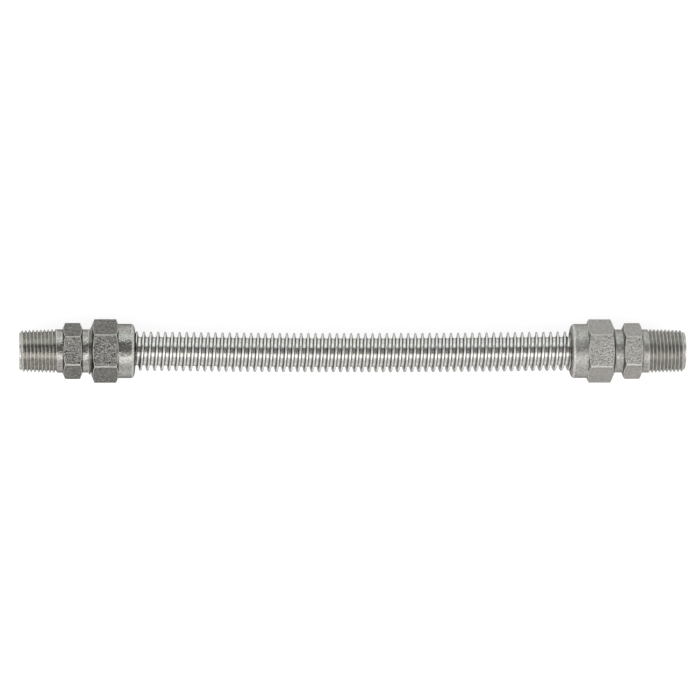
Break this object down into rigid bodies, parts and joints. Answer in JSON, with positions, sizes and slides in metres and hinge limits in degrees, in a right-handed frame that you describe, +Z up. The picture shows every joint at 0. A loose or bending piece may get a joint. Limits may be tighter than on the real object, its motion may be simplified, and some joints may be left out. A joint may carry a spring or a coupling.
{
  "type": "gas appliance connector",
  "caption": "Flexible corrugated steel gas connector with a flare nut and a tapered male pipe adapter on each end.",
  "frame": {"origin": "under the middle of the connector, on the surface that it lies on", "axes": "+X along the tube towards the right pipe end, +Z up, square to the surface that the nuts' flats rest on"},
  "size_m": [0.3244, 0.0312, 0.027],
  "materials": {
    "stainless_tube": "bright annealed stainless steel",
    "plated_nut": "dull zinc-plated steel with faint turning lines",
    "plated_adapter": "dull zinc-plated steel with faint turning lines"
  },
  "bodies": {
    "root": {"corrugated_tube": "stainless_tube", "left_flare_nut": "plated_nut", "right_flare_nut": "plated_nut", "left_pipe_adapter": "plated_adapter", "right_pipe_adapter": "plated_adapter"}
  },
  "joints": []
}
